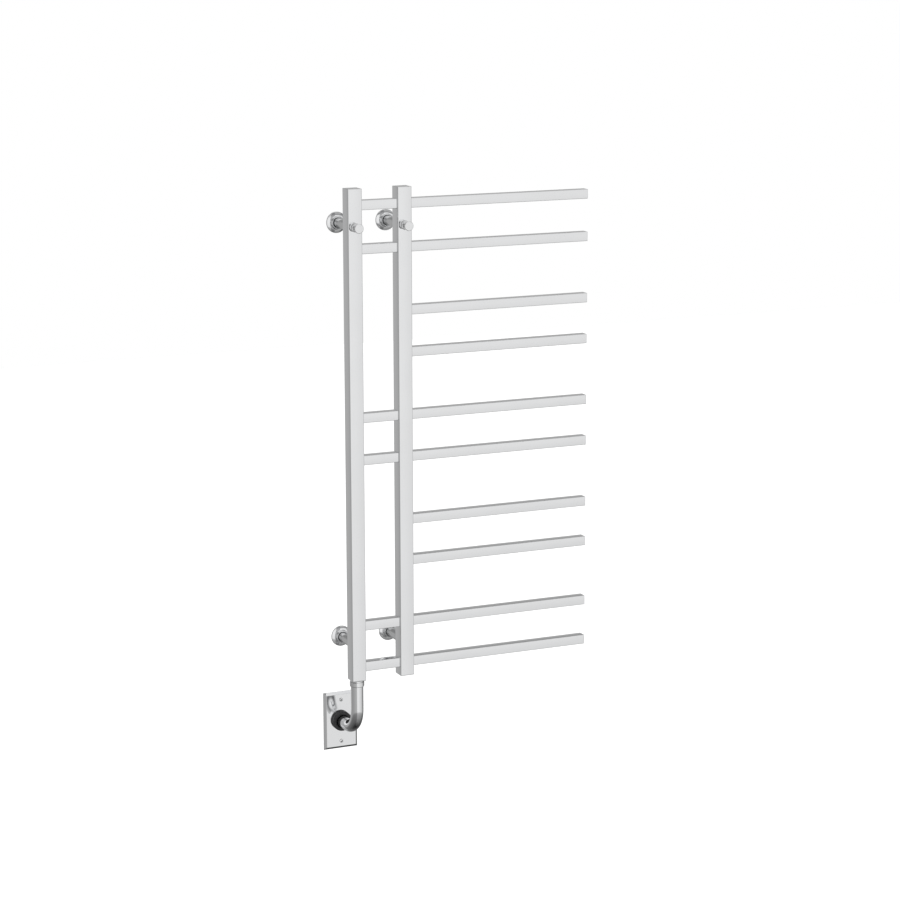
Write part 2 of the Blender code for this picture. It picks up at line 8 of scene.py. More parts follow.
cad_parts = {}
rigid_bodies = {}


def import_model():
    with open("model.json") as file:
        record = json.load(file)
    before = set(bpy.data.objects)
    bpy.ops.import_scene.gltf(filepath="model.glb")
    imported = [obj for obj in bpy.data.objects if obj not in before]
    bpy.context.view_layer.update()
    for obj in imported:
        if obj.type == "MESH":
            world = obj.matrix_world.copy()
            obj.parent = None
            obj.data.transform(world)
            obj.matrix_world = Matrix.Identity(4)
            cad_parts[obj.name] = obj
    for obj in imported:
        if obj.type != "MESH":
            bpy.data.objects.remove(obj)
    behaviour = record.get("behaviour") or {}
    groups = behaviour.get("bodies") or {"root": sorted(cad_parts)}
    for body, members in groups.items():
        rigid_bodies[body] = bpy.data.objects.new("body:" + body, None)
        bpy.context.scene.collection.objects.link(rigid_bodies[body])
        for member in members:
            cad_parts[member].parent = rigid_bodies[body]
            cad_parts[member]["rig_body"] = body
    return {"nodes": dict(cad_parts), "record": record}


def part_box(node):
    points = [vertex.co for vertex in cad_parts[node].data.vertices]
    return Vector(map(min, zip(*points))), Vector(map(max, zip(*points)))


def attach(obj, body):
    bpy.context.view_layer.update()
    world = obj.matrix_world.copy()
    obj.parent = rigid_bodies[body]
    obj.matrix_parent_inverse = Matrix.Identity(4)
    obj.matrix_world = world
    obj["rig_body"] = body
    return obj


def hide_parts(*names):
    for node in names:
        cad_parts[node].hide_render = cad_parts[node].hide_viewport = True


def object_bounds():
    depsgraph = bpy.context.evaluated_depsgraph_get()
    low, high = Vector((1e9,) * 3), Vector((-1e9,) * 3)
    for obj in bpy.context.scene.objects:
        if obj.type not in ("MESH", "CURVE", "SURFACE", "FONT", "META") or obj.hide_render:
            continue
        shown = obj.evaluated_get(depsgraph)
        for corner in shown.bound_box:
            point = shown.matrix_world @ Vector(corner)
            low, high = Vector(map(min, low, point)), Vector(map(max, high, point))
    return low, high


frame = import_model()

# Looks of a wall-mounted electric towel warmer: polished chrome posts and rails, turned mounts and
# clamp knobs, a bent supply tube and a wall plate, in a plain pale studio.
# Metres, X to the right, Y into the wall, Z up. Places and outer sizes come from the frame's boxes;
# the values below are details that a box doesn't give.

CAD_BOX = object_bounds()

# All pieces
JOINT_GAP = 0.0003
OVERRUN = 0.01
TURN_STEPS = 96
SMALL_TURN_STEPS = 48
HOLE_STEPS = 32
FINE_EDGE = 0.0002
EDGE = 0.0003
SOFT_EDGE = 0.0005
ON_AXIS = 1e-7

# Square tubes
TUBE_WALL = 0.0015
POST_CORNER = 0.0019
RAIL_CORNER = 0.0009
LEAST_CORNER = 0.0003
CORNER_STEPS = 6
END_ROUND = 0.0007
END_STEPS = 3
SUPPORT = 0.0012
WELD = 0.0009
WELD_STEPS = 4
KNOB_HOLE_R = 0.0046
PLUG_GAP = 0.00012
PLUG_EDGE = 0.00025

# Mounts
STEM_R = 0.009
STEM_FILLET = 0.0012
BASE_THICK = 0.002
WALL_SCREW_R = 0.0022
WALL_SCREW_OFFSET = 0.0134
SPIGOT_R = 0.0055
SPIGOT_LENGTH = 0.007
THREAD_BORE_R = 0.0042
THREAD_BORE_DEPTH = 0.014
COVER_RIM = 0.0026
COVER_SLOPE = 0.30
COVER_CROWN = 0.0003
COVER_COVE = 0.0006
COVER_SKIN = 0.001
COVER_FOOT_ROUND = 0.0006
COVER_STEPS = 9
COLLAR_R = 0.0122
COLLAR_LAND = 0.0008
COLLAR_DISH = 0.0018
GRUB_SOCKET_R = 0.0007
GRUB_SOCKET_DEPTH = 0.0012
GRUB_EDGE = 0.0001
GRUB_TIP_SHARE = 0.7
GRUB_OVERRUN = 0.001

# Clamp knobs; heights are above the posts' front face
WASHER_ROUND = 0.0006
SHANK_R = 0.0038
KNOB_BASE_R = 0.0078
KNOB_BASE_TOP = 0.0078
KNOB_BASE_ROUND = 0.0009
KNOB_BASE_SLOPE = 0.0006
KNOB_NECK_R = 0.0043
KNOB_NECK_HEIGHT = 0.0108
KNOB_NECK_ROUND = 0.0008
KNOB_HEAD_R = 0.0088
KNOB_HEAD_ROUND = 0.0009
KNOB_RIM_HEIGHT = 0.0172
KNOB_RIM_LIP = 0.0004
KNOB_RIM_ROUND = 0.0007
FLARE_SHARE = 0.93
FLARE_DROP = 0.0016
FLARE_STEPS = 10

# Elbow, collar nut, plate and grommet
ELBOW_R = 0.012
ELBOW_WALL = 0.0018
ELBOW_BEND = 0.044
ELBOW_SWING = math.radians(2.5)
NUT_SHOULDER_R = 0.0130
NUT_SHOULDER = 0.0030
NUT_ROUND = 0.0012
NUT_RING_EDGE = 0.0008
NUT_STEP_EDGE = 0.0001
PLATE_BEVEL = 0.005
PLATE_SKIN = 0.0015
PLATE_RIM = 0.0055
PLATE_HOLE_R = 0.0158
SCREW_HEAD_R = 0.0036
SCREW_SHANK_R = 0.0017
SCREW_CROWN = 0.0007
SCREW_CROWN_SHARE = 0.94
SCREW_CROWN_STEPS = 6
SCREW_SEAT_EDGE = 0.0001
SCREW_TIP_EDGE = 0.0004
SCREW_SLOT_WIDTH = 0.0016
SCREW_SLOT_DEPTH = 0.0015
SCREW_SLOT_ANGLE = math.radians(40)
GROMMET_FIT = 0.0001
GROMMET_ROUND = 0.0028
GROMMET_ROUND_STEPS = 8
GROMMET_FLANGE = 0.002
GROMMET_FLANGE_EDGE = 0.0004
GROMMET_BACK_FLANGE = 0.001

# Leads
LEAD_R = 0.0014
LEAD_STEPS = 20
CORE_R = 0.0008
CORE_STEPS = 16
CORE_LENGTH = 0.007
CORE_OVERLAP = 0.002
CORE_TIP = 0.0002
CORE_TIP_SHARE = 0.75
LEAD_OFFSET = 0.0042

# Looks
# Painted shade: how dark the colour gets in crevices, slots and joints, found by an ambient occlusion test
CREVICE_SHADE_TONE = 0.12

# Camera and studio
CAMERA_PLACE = (-1.762, -4.513, 0.570)
CAMERA_YAW = math.radians(23.83)
CAMERA_PITCH = math.radians(11.73)
CAMERA_ROLL = math.radians(-0.15)
CAMERA_LENS_MM = 104.0
SENSOR_WIDTH_MM = 36.0
FLOOR_DROP = 0.45
FLOOR_SIZE = 14.0
FLOOR_CENTRE_X = 0.2
LAMP_PLACE = (-1.6, -2.8, 2.4)
LAMP_AIM = (0.1, -0.05, -0.5)
LAMP_WIDTH = 2.4
LAMP_HEIGHT = 1.6
LAMP_WATTS = 60.0

SLOT_OF = {row["node"]: row["material_slot"] for row in frame["record"]["subparts"]}


# Materials

def link(tree, source, target):
    tree.links.new(source, target)


def node(tree, kind, **values):
    """A shader node with its properties or named inputs set."""
    made = tree.nodes.new(kind)
    for key, value in values.items():
        if hasattr(made, key):
            setattr(made, key, value)
        else:
            made.inputs[key.replace("_", " ")].default_value = value
    return made


def noise(tree, place, scale, detail, roughness=0.55):
    """The value of a noise texture."""
    made = node(tree, "ShaderNodeTexNoise")
    made.inputs["Scale"].default_value = scale
    made.inputs["Detail"].default_value = detail
    made.inputs["Roughness"].default_value = roughness
    link(tree, place, made.inputs["Vector"])
    return made.outputs["Fac"]


def spread(tree, value, low, high, from_low=0.35, from_high=0.65):
    """Map a value onto a range."""
    made = node(tree, "ShaderNodeMapRange")
    link(tree, value, made.inputs["Value"])
    for name, number in (("From Min", from_low), ("From Max", from_high), ("To Min", low), ("To Max", high)):
        made.inputs[name].default_value = number
    return made.outputs["Result"]


def maths(tree, operation, first, second):
    """The result of an operation on two numbers or sockets."""
    made = node(tree, "ShaderNodeMath", operation=operation)
    for socket, value in zip(made.inputs, (first, second)):
        if isinstance(value, (int, float)):
            socket.default_value = value
        else:
            link(tree, value, socket)
    return made.outputs[0]


def stretched(tree, place, scale):
    """Object coordinates, stretched for marks that run one way."""
    made = node(tree, "ShaderNodeMapping")
    made.inputs["Scale"].default_value = scale
    link(tree, place, made.inputs["Vector"])
    return made.outputs["Vector"]


def make_surface(name, colour, drift, metallic, rough, marks, grain, scratches=None, specular=0.5,
                 crevice_shade_reach=0.0):
    """A Principled material whose colour, roughness and relief vary over the surface.

    rough is (low, high), marks is the scale of its cloudy variation, grain is (scale, depth in metres)
    of the fine relief, and scratches is (stretch, added roughness) or None. The last argument is the reach
    in metres of an ambient occlusion test that paints shade into crevices by darkening the colour there.
    """
    material = bpy.data.materials.new(name)
    material.use_nodes = True
    tree = material.node_tree
    shader = tree.nodes["Principled BSDF"]
    place = node(tree, "ShaderNodeTexCoord").outputs["Object"]
    cloud = noise(tree, place, marks, 4.0)
    fine = noise(tree, place, grain[0], 3.0)
    blend = node(tree, "ShaderNodeMix", data_type="RGBA")
    blend.inputs["A"].default_value = (*[c * drift for c in colour], 1.0)
    blend.inputs["B"].default_value = (*colour, 1.0)
    link(tree, spread(tree, cloud, 0.0, 1.0), blend.inputs["Factor"])
    surface_colour = blend.outputs["Result"]
    # Painted shade: an ambient occlusion test darkens the colour in crevices, slots, necks and between
    # parts, where shade falls
    if crevice_shade_reach:
        crevice = node(tree, "ShaderNodeAmbientOcclusion", samples=4, Distance=crevice_shade_reach)
        crevice_shade = node(tree, "ShaderNodeMix", data_type="RGBA", blend_type="MULTIPLY")
        crevice_shade.inputs["Factor"].default_value = 1.0
        link(tree, surface_colour, crevice_shade.inputs["A"])
        link(tree, spread(tree, crevice.outputs["AO"], CREVICE_SHADE_TONE, 1.0, 0.25, 0.75), crevice_shade.inputs["B"])
        surface_colour = crevice_shade.outputs["Result"]
    link(tree, surface_colour, shader.inputs["Base Color"])
    roughness = spread(tree, cloud, rough[1], rough[0])
    if scratches:
        lines = noise(tree, stretched(tree, place, scratches[0]), 1.0, 2.0)
        roughness = maths(tree, "ADD", roughness, spread(tree, lines, 0.0, scratches[1], 0.58, 0.72))
    link(tree, roughness, shader.inputs["Roughness"])
    bump = node(tree, "ShaderNodeBump")
    bump.inputs["Strength"].default_value = 1.0
    bump.inputs["Distance"].default_value = grain[1]
    link(tree, fine, bump.inputs["Height"])
    link(tree, bump.outputs["Normal"], shader.inputs["Normal"])
    shader.inputs["Metallic"].default_value = metallic
    shader.inputs["Specular IOR Level"].default_value = specular
    return material


def make_materials():
    """A material for each slot of the record, two more chromes, and bare copper for the leads' ends."""
    return {
        # The chromes and the steel get painted shade in their crevices; the last number of each is its reach
        # in metres
        "chrome": make_surface("polished_chrome", (0.945, 0.950, 0.958), 0.985, 1.0, (0.035, 0.085),
                               14.0, (140.0, 0.000004), ((900.0, 900.0, 25.0), 0.05), crevice_shade_reach=0.0011),
        "turned_chrome": make_surface("turned_chrome", (0.93, 0.935, 0.94), 0.97, 1.0, (0.05, 0.11),
                                      60.0, (300.0, 0.000006), ((90.0, 1600.0, 90.0), 0.05), crevice_shade_reach=0.010),
        "slotted_chrome": make_surface("slotted_chrome", (0.93, 0.935, 0.94), 0.97, 1.0, (0.05, 0.11),
                                       60.0, (300.0, 0.000006), ((400.0, 400.0, 400.0), 0.05), crevice_shade_reach=0.012),
        "steel": make_surface("turned_steel", (0.84, 0.845, 0.85), 0.95, 1.0, (0.08, 0.15),
                              40.0, (900.0, 0.000006), ((60.0, 2200.0, 60.0), 0.08), crevice_shade_reach=0.0012),
        "rubber": make_surface("moulded_rubber", (0.021, 0.021, 0.022), 0.72, 0.0, (0.36, 0.58),
                               160.0, (2600.0, 0.00006), None, 0.45),
        "silicone": make_surface("silicone_sleeve", (0.42, 0.10, 0.07), 0.85, 0.0, (0.40, 0.60),
                                 120.0, (3000.0, 0.00003)),
        "live_insulation": make_surface("black_insulation", (0.018, 0.018, 0.019), 0.8, 0.0,
                                        (0.32, 0.48), 180.0, (2600.0, 0.00003)),
        "neutral_insulation": make_surface("white_insulation", (0.78, 0.78, 0.76), 0.93, 0.0,
                                           (0.34, 0.50), 180.0, (2600.0, 0.00003)),
        "earth_insulation": make_surface("green_insulation", (0.045, 0.33, 0.09), 0.85, 0.0,
                                         (0.34, 0.50), 180.0, (2600.0, 0.00003)),
        "copper": make_surface("bare_copper", (0.85, 0.42, 0.27), 0.82, 1.0, (0.20, 0.38),
                               500.0, (4000.0, 0.00003)),
    }


MATERIALS = make_materials()


# Mesh helpers

def add_object(name, bm):
    """Turn a mesh under construction into an object in the scene."""
    bmesh.ops.recalc_face_normals(bm, faces=bm.faces)
    mesh = bpy.data.meshes.new(name)
    bm.to_mesh(mesh)
    bm.free()
    obj = bpy.data.objects.new(name, mesh)
    bpy.context.scene.collection.objects.link(obj)
    return obj


def shade(obj, sharp_deg, flat_faces):
    """Smooth shading with sharp edges kept; flat_faces keeps large faces flat between rounded edges."""
    obj.data.shade_smooth()
    obj.data.set_sharp_from_angle(angle=math.radians(sharp_deg))
    if flat_faces:
        weighted = obj.modifiers.new("weighted_normals", "WEIGHTED_NORMAL")
        weighted.keep_sharp = True
        weighted.weight = 90


def carve(obj, tools):
    """Cut closed tools out of a piece, and remove the tools."""
    for tool in tools:
        modifier = obj.modifiers.new("carve", "BOOLEAN")
        modifier.operation = "DIFFERENCE"
        modifier.solver = "EXACT"
        modifier.object = tool
    bpy.context.view_layer.update()
    evaluated = obj.evaluated_get(bpy.context.evaluated_depsgraph_get())
    carved = bpy.data.meshes.new_from_object(evaluated)
    obj.modifiers.clear()
    obj.data = carved
    for tool in tools:
        bpy.data.objects.remove(tool)


def stand_for(cad_node, obj, sharp_deg=35.0, flat_faces=True, look=None):
    """Give a finished piece its looks and let it take the place of its CAD node."""
    shade(obj, sharp_deg, flat_faces)
    obj.data.materials.clear()
    obj.data.materials.append(MATERIALS[look or SLOT_OF[cad_node]])
    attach(obj, frame["nodes"][cad_node]["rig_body"])
    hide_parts(cad_node)


def centre_of(cad_node):
    low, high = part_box(cad_node)
    return (low + high) / 2


def arc(centre, radius, start_deg, end_deg, steps):
    """Points of a round stretch of an outline, both ends included."""
    points = []
    for i in range(steps + 1):
        angle = math.radians(start_deg + (end_deg - start_deg) * i / steps)
        points.append((centre[0] + radius * math.cos(angle), centre[1] + radius * math.sin(angle)))
    return points


def rounded(corners, steps=4):
    """An outline of (radius, height, rounding) corners, each turned into a short arc."""
    points = []
    count = len(corners)
    for i, (radius, height, rounding) in enumerate(corners):
        here = Vector((radius, height))
        if rounding <= 0.0:
            points.append(here)
            continue
        before = Vector(corners[i - 1][:2]) - here
        after = Vector(corners[(i + 1) % count][:2]) - here
        half_angle = before.angle(after) / 2
        into, out = before.normalized(), after.normalized()
        reach = rounding / math.tan(half_angle)
        centre = here + (into + out).normalized() * (rounding / math.sin(half_angle))
        first = (here + into * reach - centre).normalized()
        last = (here + out * reach - centre).normalized()
        for k in range(steps + 1):
            points.append(centre + first.slerp(last, k / steps) * rounding)
    return [tuple(point) for point in points]


def turned(name, outline, place, toward_room=True, steps=TURN_STEPS):
    """Turn an outline of (radius, height) points about an axis through place.

    The axis points to the room, or up. An outline that starts and ends on the axis is solid;
    any other is a ring.
    """
    bm = bmesh.new()
    turn = Matrix.Rotation(math.radians(90), 4, "X") if toward_room else Matrix.Identity(4)
    matrix = Matrix.Translation(place) @ turn
    rings = []
    for radius, height in outline:
        if radius < ON_AXIS:
            rings.append([bm.verts.new(matrix @ Vector((0, 0, height)))])
            continue
        ring = []
        for k in range(steps):
            angle = math.tau * k / steps
            point = Vector((radius * math.cos(angle), radius * math.sin(angle), height))
            ring.append(bm.verts.new(matrix @ point))
        rings.append(ring)
    pairs = list(zip(rings, rings[1:]))
    if outline[0][0] > ON_AXIS:
        pairs.append((rings[-1], rings[0]))
    for first, second in pairs:
        join_rings(bm, first, second)
    return add_object(name, bm)


def join_rings(bm, first, second):
    """Faces between two rings of points; a ring of one point is a tip."""
    count = max(len(first), len(second))
    for k in range(count):
        after = (k + 1) % count
        if len(first) == 1:
            bm.faces.new((first[0], second[after], second[k]))
        elif len(second) == 1:
            bm.faces.new((first[k], first[after], second[0]))
        else:
            bm.faces.new((first[k], first[after], second[after], second[k]))


def loft(name, loops, ring=False):
    """A skin over a row of point loops, closed into a ring or capped at both ends."""
    bm = bmesh.new()
    rings = [[bm.verts.new(point) for point in loop] for loop in loops]
    for first, second in zip(rings, rings[1:]):
        join_rings(bm, first, second)
    if ring:
        join_rings(bm, rings[-1], rings[0])
    else:
        bm.faces.new(rings[0])
        bm.faces.new(rings[-1])
    return add_object(name, bm)


def cylinder(start, end, radius, steps=TURN_STEPS):
    """A closed tool for carving."""
    start, end = Vector(start), Vector(end)
    bm = bmesh.new()
    turn = Vector((0, 0, 1)).rotation_difference(end - start).to_matrix().to_4x4()
    matrix = Matrix.Translation((start + end) / 2) @ turn
    bmesh.ops.create_cone(bm, cap_ends=True, segments=steps, radius1=radius, radius2=radius,
                          depth=(end - start).length, matrix=matrix)
    return add_object("tool", bm)


def block(low, high):
    """A box between two corners, as a mesh under construction."""
    low, high = Vector(low), Vector(high)
    bm = bmesh.new()
    matrix = Matrix.Translation((low + high) / 2) @ Matrix.Diagonal((*(high - low), 1.0))
    bmesh.ops.create_cube(bm, size=1.0, matrix=matrix)
    return bm


# Posts, rungs and rails

def square_loop(axis, centre, along, half, corner):
    """A square loop with rounded corners across an axis (0 for X, 2 for Z)."""
    points = []
    flat = half - corner
    for quarter, (side_u, side_v) in enumerate(((1, 1), (-1, 1), (-1, -1), (1, -1))):
        turn = 90 * quarter
        for u, v in arc((side_u * flat, side_v * flat), corner, turn, turn + 90, CORNER_STEPS):
            if axis == 0:
                points.append((along, centre.y + u, centre.z + v))
            else:
                points.append((centre.x + u, centre.y + v, along))
    return points


def rounded_end(at, inward, half):
    """Stations (place along the tube, half width) round an end's outer edge."""
    stations = []
    for u, v in arc((0.0, 0.0), END_ROUND, 90, 0, END_STEPS):
        stations.append((at + inward * (END_ROUND - v), half - END_ROUND + u))
    stations.append((at + inward * (END_ROUND + SUPPORT), half))
    return stations


def welded_end(at, inward, half):
    """Stations of a small concave weld where a tube meets a post."""
    stations = []
    for u, v in arc((WELD, WELD), WELD, 270, 180, WELD_STEPS):
        stations.append((at + inward * v, half + u))
    stations.append((at + inward * (WELD + SUPPORT), half))
    return stations


def make_square_tube(cad_node, axis, start, end, start_style, end_style, extra=(), capped=False):
    """A hollow square tube with finished ends; capped closes the far end with a flat wall."""
    low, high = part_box(cad_node)
    centre = (low + high) / 2
    half = (high.y - low.y) / 2
    styles = {"open": rounded_end, "welded": welded_end}
    outer = styles[start_style](start, 1, half)
    outer += [(along, half) for along in extra]
    outer += list(reversed(styles[end_style](end, -1, half)))
    bore = half - TUBE_WALL
    corner = POST_CORNER if axis == 2 else RAIL_CORNER
    bore_corner = max(corner - TUBE_WALL, LEAST_CORNER)
    inner_end = end - TUBE_WALL if capped else end
    loops = [square_loop(axis, centre, along, size, max(corner + size - half, LEAST_CORNER))
             for along, size in outer]
    if capped:
        face_half = outer[-1][1] - SUPPORT
        loops.append(square_loop(axis, centre, end, face_half, LEAST_CORNER))
        loops.insert(0, square_loop(axis, centre, start, bore, bore_corner))
        loops.insert(0, square_loop(axis, centre, inner_end, bore, bore_corner))
        return loft(f"{cad_node}_finish", loops)
    loops.append(square_loop(axis, centre, end, bore, bore_corner))
    loops.append(square_loop(axis, centre, start, bore, bore_corner))
    return loft(f"{cad_node}_finish", loops, ring=True)


def make_posts():
    """Both posts, each with a hole in its front for the clamp knob's shank.

    The hidden holes behind and at the sides, for the shank, the spigots and the cable, are left out.
    """
    for side in ("left", "right"):
        cad_node = f"{side}_post"
        low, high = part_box(cad_node)
        knob = centre_of(f"top_{side}_knob")
        near_hole = (knob.z - 3 * KNOB_HOLE_R, knob.z + 3 * KNOB_HOLE_R)
        post = make_square_tube(cad_node, 2, low.z, high.z, "open", "open", extra=near_hole)
        reach = 2 * TUBE_WALL
        hole = cylinder((knob.x, low.y - reach, knob.z), (knob.x, low.y + reach, knob.z), KNOB_HOLE_R,
                        SMALL_TURN_STEPS)
        carve(post, [hole])
        stand_for(cad_node, post, sharp_deg=40.0, flat_faces=False)


def make_plugs():
    """Press-in plugs that close the posts' ends."""
    for cad_node in ("left_post_top_plug", "right_post_top_plug", "right_post_bottom_plug"):
        low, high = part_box(cad_node)
        centre = (low + high) / 2
        half = (high.x - low.x) / 2 + JOINT_GAP - PLUG_GAP
        corner = POST_CORNER - TUBE_WALL + PLUG_GAP
        face = half - PLUG_EDGE
        loops = []
        for along, size in ((low.z, face - SUPPORT), (low.z, face), (low.z + PLUG_EDGE, half),
                            (high.z - PLUG_EDGE, half), (high.z, face), (high.z, face - SUPPORT)):
            loops.append(square_loop(2, centre, along, size, corner))
        stand_for(cad_node, loft(f"{cad_node}_finish", loops))


def make_rungs_and_rails():
    """Short rungs between the posts and long rails to the right, welded to the posts."""
    for cad_node in sorted(frame["nodes"]):
        if cad_node.startswith("rung_"):
            low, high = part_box(cad_node)
            rung = make_square_tube(cad_node, 0, low.x - JOINT_GAP, high.x + JOINT_GAP, "welded", "welded")
            stand_for(cad_node, rung, sharp_deg=40.0, flat_faces=False)
        if cad_node.startswith("rail_"):
            low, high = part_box(cad_node)
            rail = make_square_tube(cad_node, 0, low.x - JOINT_GAP, high.x, "welded", "open", capped=True)
            stand_for(cad_node, rail, sharp_deg=40.0, flat_faces=False)


# Mounts

def make_brackets():
    """Base disc and stem of each mount; the upper stems are bored for a shank, the lower end in a spigot."""
    for place in ("top_left", "top_right", "bottom_left", "bottom_right"):
        cad_node = f"{place}_bracket"
        low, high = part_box(cad_node)
        x, z = centre_of(cad_node).x, centre_of(cad_node).z
        base_r = (high.x - low.x) / 2
        tip = -low.y
        if place.startswith("top"):
            floor = tip - THREAD_BORE_DEPTH
            head = [(0.0, floor, 0), (THREAD_BORE_R, floor, 0), (THREAD_BORE_R, tip, EDGE),
                    (STEM_R, tip, SOFT_EDGE)]
        else:
            shoulder = tip - SPIGOT_LENGTH
            head = [(0.0, tip, 0), (SPIGOT_R, tip, SOFT_EDGE), (SPIGOT_R, shoulder, FINE_EDGE),
                    (STEM_R, shoulder, SOFT_EDGE)]
        foot = [(STEM_R, BASE_THICK, STEM_FILLET), (base_r, BASE_THICK, SOFT_EDGE), (base_r, 0.0, FINE_EDGE),
                (0.0, 0.0, 0)]
        bracket = turned(f"{cad_node}_finish", rounded(head + foot), (x, 0, z))
        tools = []
        for side in (-1, 1):
            hole_x = x + side * WALL_SCREW_OFFSET
            tools.append(cylinder((hole_x, OVERRUN, z), (hole_x, -OVERRUN, z), WALL_SCREW_R, HOLE_STEPS))
        carve(bracket, tools)
        stand_for(cad_node, bracket)


def make_covers():
    """Round covers: a shallow cone with a dished collar round the stem."""
    for place in ("top_left", "top_right", "bottom_left", "bottom_right"):
        cad_node = f"{place}_cover"
        low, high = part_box(cad_node)
        x, z = centre_of(cad_node).x, centre_of(cad_node).z
        radius = (high.x - low.x) / 2
        bore = STEM_R + JOINT_GAP
        collar_top, back = -low.y, -high.y
        foot = COLLAR_R + COVER_COVE
        span = radius - foot
        crest = COVER_RIM + span * COVER_SLOPE
        outline = [(bore, collar_top - COLLAR_DISH, EDGE), (COLLAR_R - COLLAR_LAND, collar_top, EDGE),
                   (COLLAR_R, collar_top, SOFT_EDGE), (COLLAR_R, crest + COVER_COVE, COVER_FOOT_ROUND)]
        for i in range(COVER_STEPS):
            share = i / COVER_STEPS
            lift = COVER_CROWN * 4 * share * (1 - share)
            outline.append((foot + span * share, crest - span * COVER_SLOPE * share + lift, 0))
        inner = radius - COVER_SKIN
        outline += [(radius, COVER_RIM, SOFT_EDGE), (radius, back, FINE_EDGE), (inner, back, FINE_EDGE),
                    (inner, COVER_RIM - COVER_SKIN / 2, SOFT_EDGE),
                    (COLLAR_R, crest - COVER_SKIN, SOFT_EDGE), (bore, crest - COVER_SKIN, FINE_EDGE)]
        cover = turned(f"{cad_node}_finish", rounded(outline), (x, 0, z))
        grub_low, grub_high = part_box(f"{place}_grub_screw")
        grub_r = (grub_high.x - grub_low.x) / 2
        grub_y = (grub_high.y + grub_low.y) / 2
        hole = cylinder((x, grub_y, grub_low.z - 2 * GRUB_OVERRUN), (x, grub_y, grub_high.z + GRUB_OVERRUN),
                        grub_r + JOINT_GAP, HOLE_STEPS)
        carve(cover, [hole])
        stand_for(cad_node, cover)


def make_grub_screws():
    """Grub screws with a chamfered flat tip and a hexagon socket, under the covers' collars."""
    for place in ("top_left", "top_right", "bottom_left", "bottom_right"):
        cad_node = f"{place}_grub_screw"
        low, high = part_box(cad_node)
        radius = (high.x - low.x) / 2
        length = high.z - low.z
        outline = rounded([(0.0, length, 0), (radius * GRUB_TIP_SHARE, length, GRUB_EDGE),
                           (radius, length - SOFT_EDGE, GRUB_EDGE), (radius, 0.0, FINE_EDGE), (0.0, 0.0, 0)])
        middle = (low + high) / 2
        screw = turned(f"{cad_node}_finish", outline, (middle.x, middle.y, low.z), toward_room=False,
                       steps=HOLE_STEPS)
        socket = cylinder((middle.x, middle.y, low.z - GRUB_OVERRUN),
                          (middle.x, middle.y, low.z + GRUB_SOCKET_DEPTH), GRUB_SOCKET_R, 6)
        carve(screw, [socket])
        stand_for(cad_node, screw)


# Clamp knobs

def flare():
    """Points of the concave flare under a knob's head, from the head down to the neck."""
    points = []
    high = KNOB_RIM_HEIGHT - FLARE_DROP
    for i in range(FLARE_STEPS + 1):
        share = i / FLARE_STEPS
        radius = KNOB_NECK_R + (KNOB_HEAD_R * FLARE_SHARE - KNOB_NECK_R) * (1 - share) ** 2
        points.append((radius, high + (KNOB_NECK_HEIGHT - high) * share))
    return points


def make_knobs():
    """Loose washers and the waisted knobs that clamp them to the posts."""
    for place in ("top_left", "top_right"):
        washer_low, washer_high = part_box(f"{place}_washer")
        x, z = centre_of(f"{place}_washer").x, centre_of(f"{place}_washer").z
        post_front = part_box(f"{place[4:]}_post")[0].y
        washer_r = (washer_high.x - washer_low.x) / 2
        washer_back, washer_top = post_front - washer_high.y, post_front - washer_low.y
        outline = [(THREAD_BORE_R, washer_top, FINE_EDGE), (washer_r, washer_top, WASHER_ROUND),
                   (washer_r, washer_back, FINE_EDGE), (THREAD_BORE_R, washer_back, FINE_EDGE)]
        washer = turned(f"{place}_washer_finish", rounded(outline), (x, post_front, z))
        stand_for(f"{place}_washer", washer, look="turned_chrome")

        knob_low, knob_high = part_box(f"{place}_knob")
        top, shank_end = post_front - knob_low.y, post_front - knob_high.y
        base = washer_top + JOINT_GAP
        outline = [(0.0, top, 0), (KNOB_HEAD_R, top, KNOB_HEAD_ROUND),
                   (KNOB_HEAD_R, KNOB_RIM_HEIGHT - KNOB_RIM_LIP, KNOB_RIM_ROUND)]
        outline += [(r, h, 0) for r, h in flare()]
        outline += [(KNOB_NECK_R + KNOB_NECK_ROUND, KNOB_BASE_TOP + KNOB_BASE_SLOPE, KNOB_NECK_ROUND),
                    (KNOB_BASE_R, KNOB_BASE_TOP, KNOB_BASE_ROUND), (KNOB_BASE_R, base, EDGE),
                    (SHANK_R, base, FINE_EDGE), (SHANK_R, shank_end, SOFT_EDGE), (0.0, shank_end, 0)]
        knob = turned(f"{place}_knob_finish", rounded(outline), (x, post_front, z))
        # The turned chrome paints shade into the knob's neck and where it meets the washer
        stand_for(f"{place}_knob", knob, look="turned_chrome")


# Elbow, collar nut, plate and grommet

def elbow_frame():
    """The elbow's start, its direction into the wall and the direction across it."""
    post = centre_of("left_post")
    back = Vector((-math.sin(ELBOW_SWING), math.cos(ELBOW_SWING), 0))
    across = Vector((math.cos(ELBOW_SWING), math.sin(ELBOW_SWING), 0))
    return Vector((post.x, post.y, 0)), back, across


def elbow_route(top, end_y, side=0.0, inset=0.0, steps=32):
    """Points down the leg, round the bend and back into the wall, and each point's outward normal."""
    start, back, across = elbow_frame()
    start = start + across * side + back * inset
    leg_z = centre_of("wall_plate").z + inset
    bend = ELBOW_BEND - inset
    up = Vector((0, 0, 1))
    points = [start + up * top]
    normals = [-back]
    for i in range(steps + 1):
        angle = math.pi / 2 * i / steps
        height = leg_z + bend * (1 - math.sin(angle))
        points.append(start + back * bend * (1 - math.cos(angle)) + up * height)
        normals.append(-back * math.cos(angle) - up * math.sin(angle))
    points.append(points[-1] + back * ((end_y - points[-1].y) / back.y))
    normals.append(-up)
    return points, normals


def tube_loops(points, normals, across, radius, steps=64):
    """Round loops about the points of a route."""
    loops = []
    for point, normal in zip(points, normals):
        loop = []
        for k in range(steps):
            angle = math.tau * k / steps
            loop.append(point + (normal * math.cos(angle) + across * math.sin(angle)) * radius)
        loops.append(loop)
    return loops


